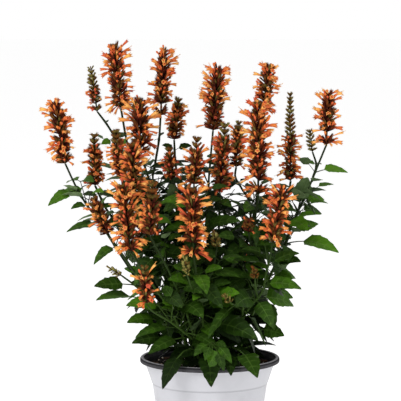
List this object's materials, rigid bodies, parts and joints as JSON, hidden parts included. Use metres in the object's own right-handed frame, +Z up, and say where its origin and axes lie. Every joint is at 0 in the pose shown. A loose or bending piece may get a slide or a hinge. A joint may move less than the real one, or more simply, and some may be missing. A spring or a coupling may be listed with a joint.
{
  "type": "potted agastache",
  "caption": "Bushy potted agastache with upright spikes of orange tubular flowers over toothed leaves on square stems, growing in a white nursery pot with a dark rim.",
  "frame": {"origin": "centre of the pot's flat underside", "axes": "+Z up along the pot's axis, -Y towards the front as pictured, +X to the right of that view"},
  "size_m": [0.3654, 0.2636, 0.527],
  "materials": {
    "pot_plastic": "satin",
    "potting_soil": "matte",
    "leaf_green": "satin",
    "flower_orange": "matte",
    "calyx_brown": "matte"
  },
  "bodies": {
    "root": {"pot": "pot_plastic", "soil": "potting_soil", "stem_01": "leaf_green", "stem_02": "leaf_green", "stem_03": "leaf_green", "stem_04": "leaf_green", "stem_05": "leaf_green", "stem_06": "leaf_green", "stem_07": "leaf_green", "stem_08": "leaf_green", "stem_09": "leaf_green", "stem_10": "leaf_green", "stem_11": "leaf_green", "stem_12": "leaf_green", "stem_13": "leaf_green", "stem_14": "leaf_green", "stem_15": "leaf_green", "stem_16": "leaf_green", "stem_17": "leaf_green", "stem_18": "leaf_green", "stem_19": "leaf_green", "stem_20": "leaf_green", "stem_21": "leaf_green", "stem_22": "leaf_green", "stem_23": "leaf_green", "spike_01": "flower_orange", "spike_02": "calyx_brown", "spike_03": "flower_orange", "spike_04": "flower_orange", "spike_05": "flower_orange", "spike_06": "flower_orange", "spike_07": "flower_orange", "spike_08": "flower_orange", "spike_09": "flower_orange", "spike_10": "flower_orange", "spike_11": "flower_orange", "spike_12": "flower_orange", "spike_13": "flower_orange", "spike_14": "flower_orange", "spike_15": "flower_orange", "spike_16": "flower_orange", "spike_17": "flower_orange", "spike_18": "flower_orange", "spike_19": "flower_orange", "spike_20": "flower_orange", "spike_21": "flower_orange", "spike_22": "calyx_brown", "spike_23": "flower_orange", "spike_24": "flower_orange", "spike_25": "flower_orange", "spike_32": "flower_orange", "spike_33": "flower_orange", "spike_34": "flower_orange", "bud_26": "calyx_brown", "bud_27": "calyx_brown", "bud_28": "calyx_brown", "bud_29": "calyx_brown", "bud_30": "calyx_brown", "bud_31": "calyx_brown"}
  },
  "joints": []
}
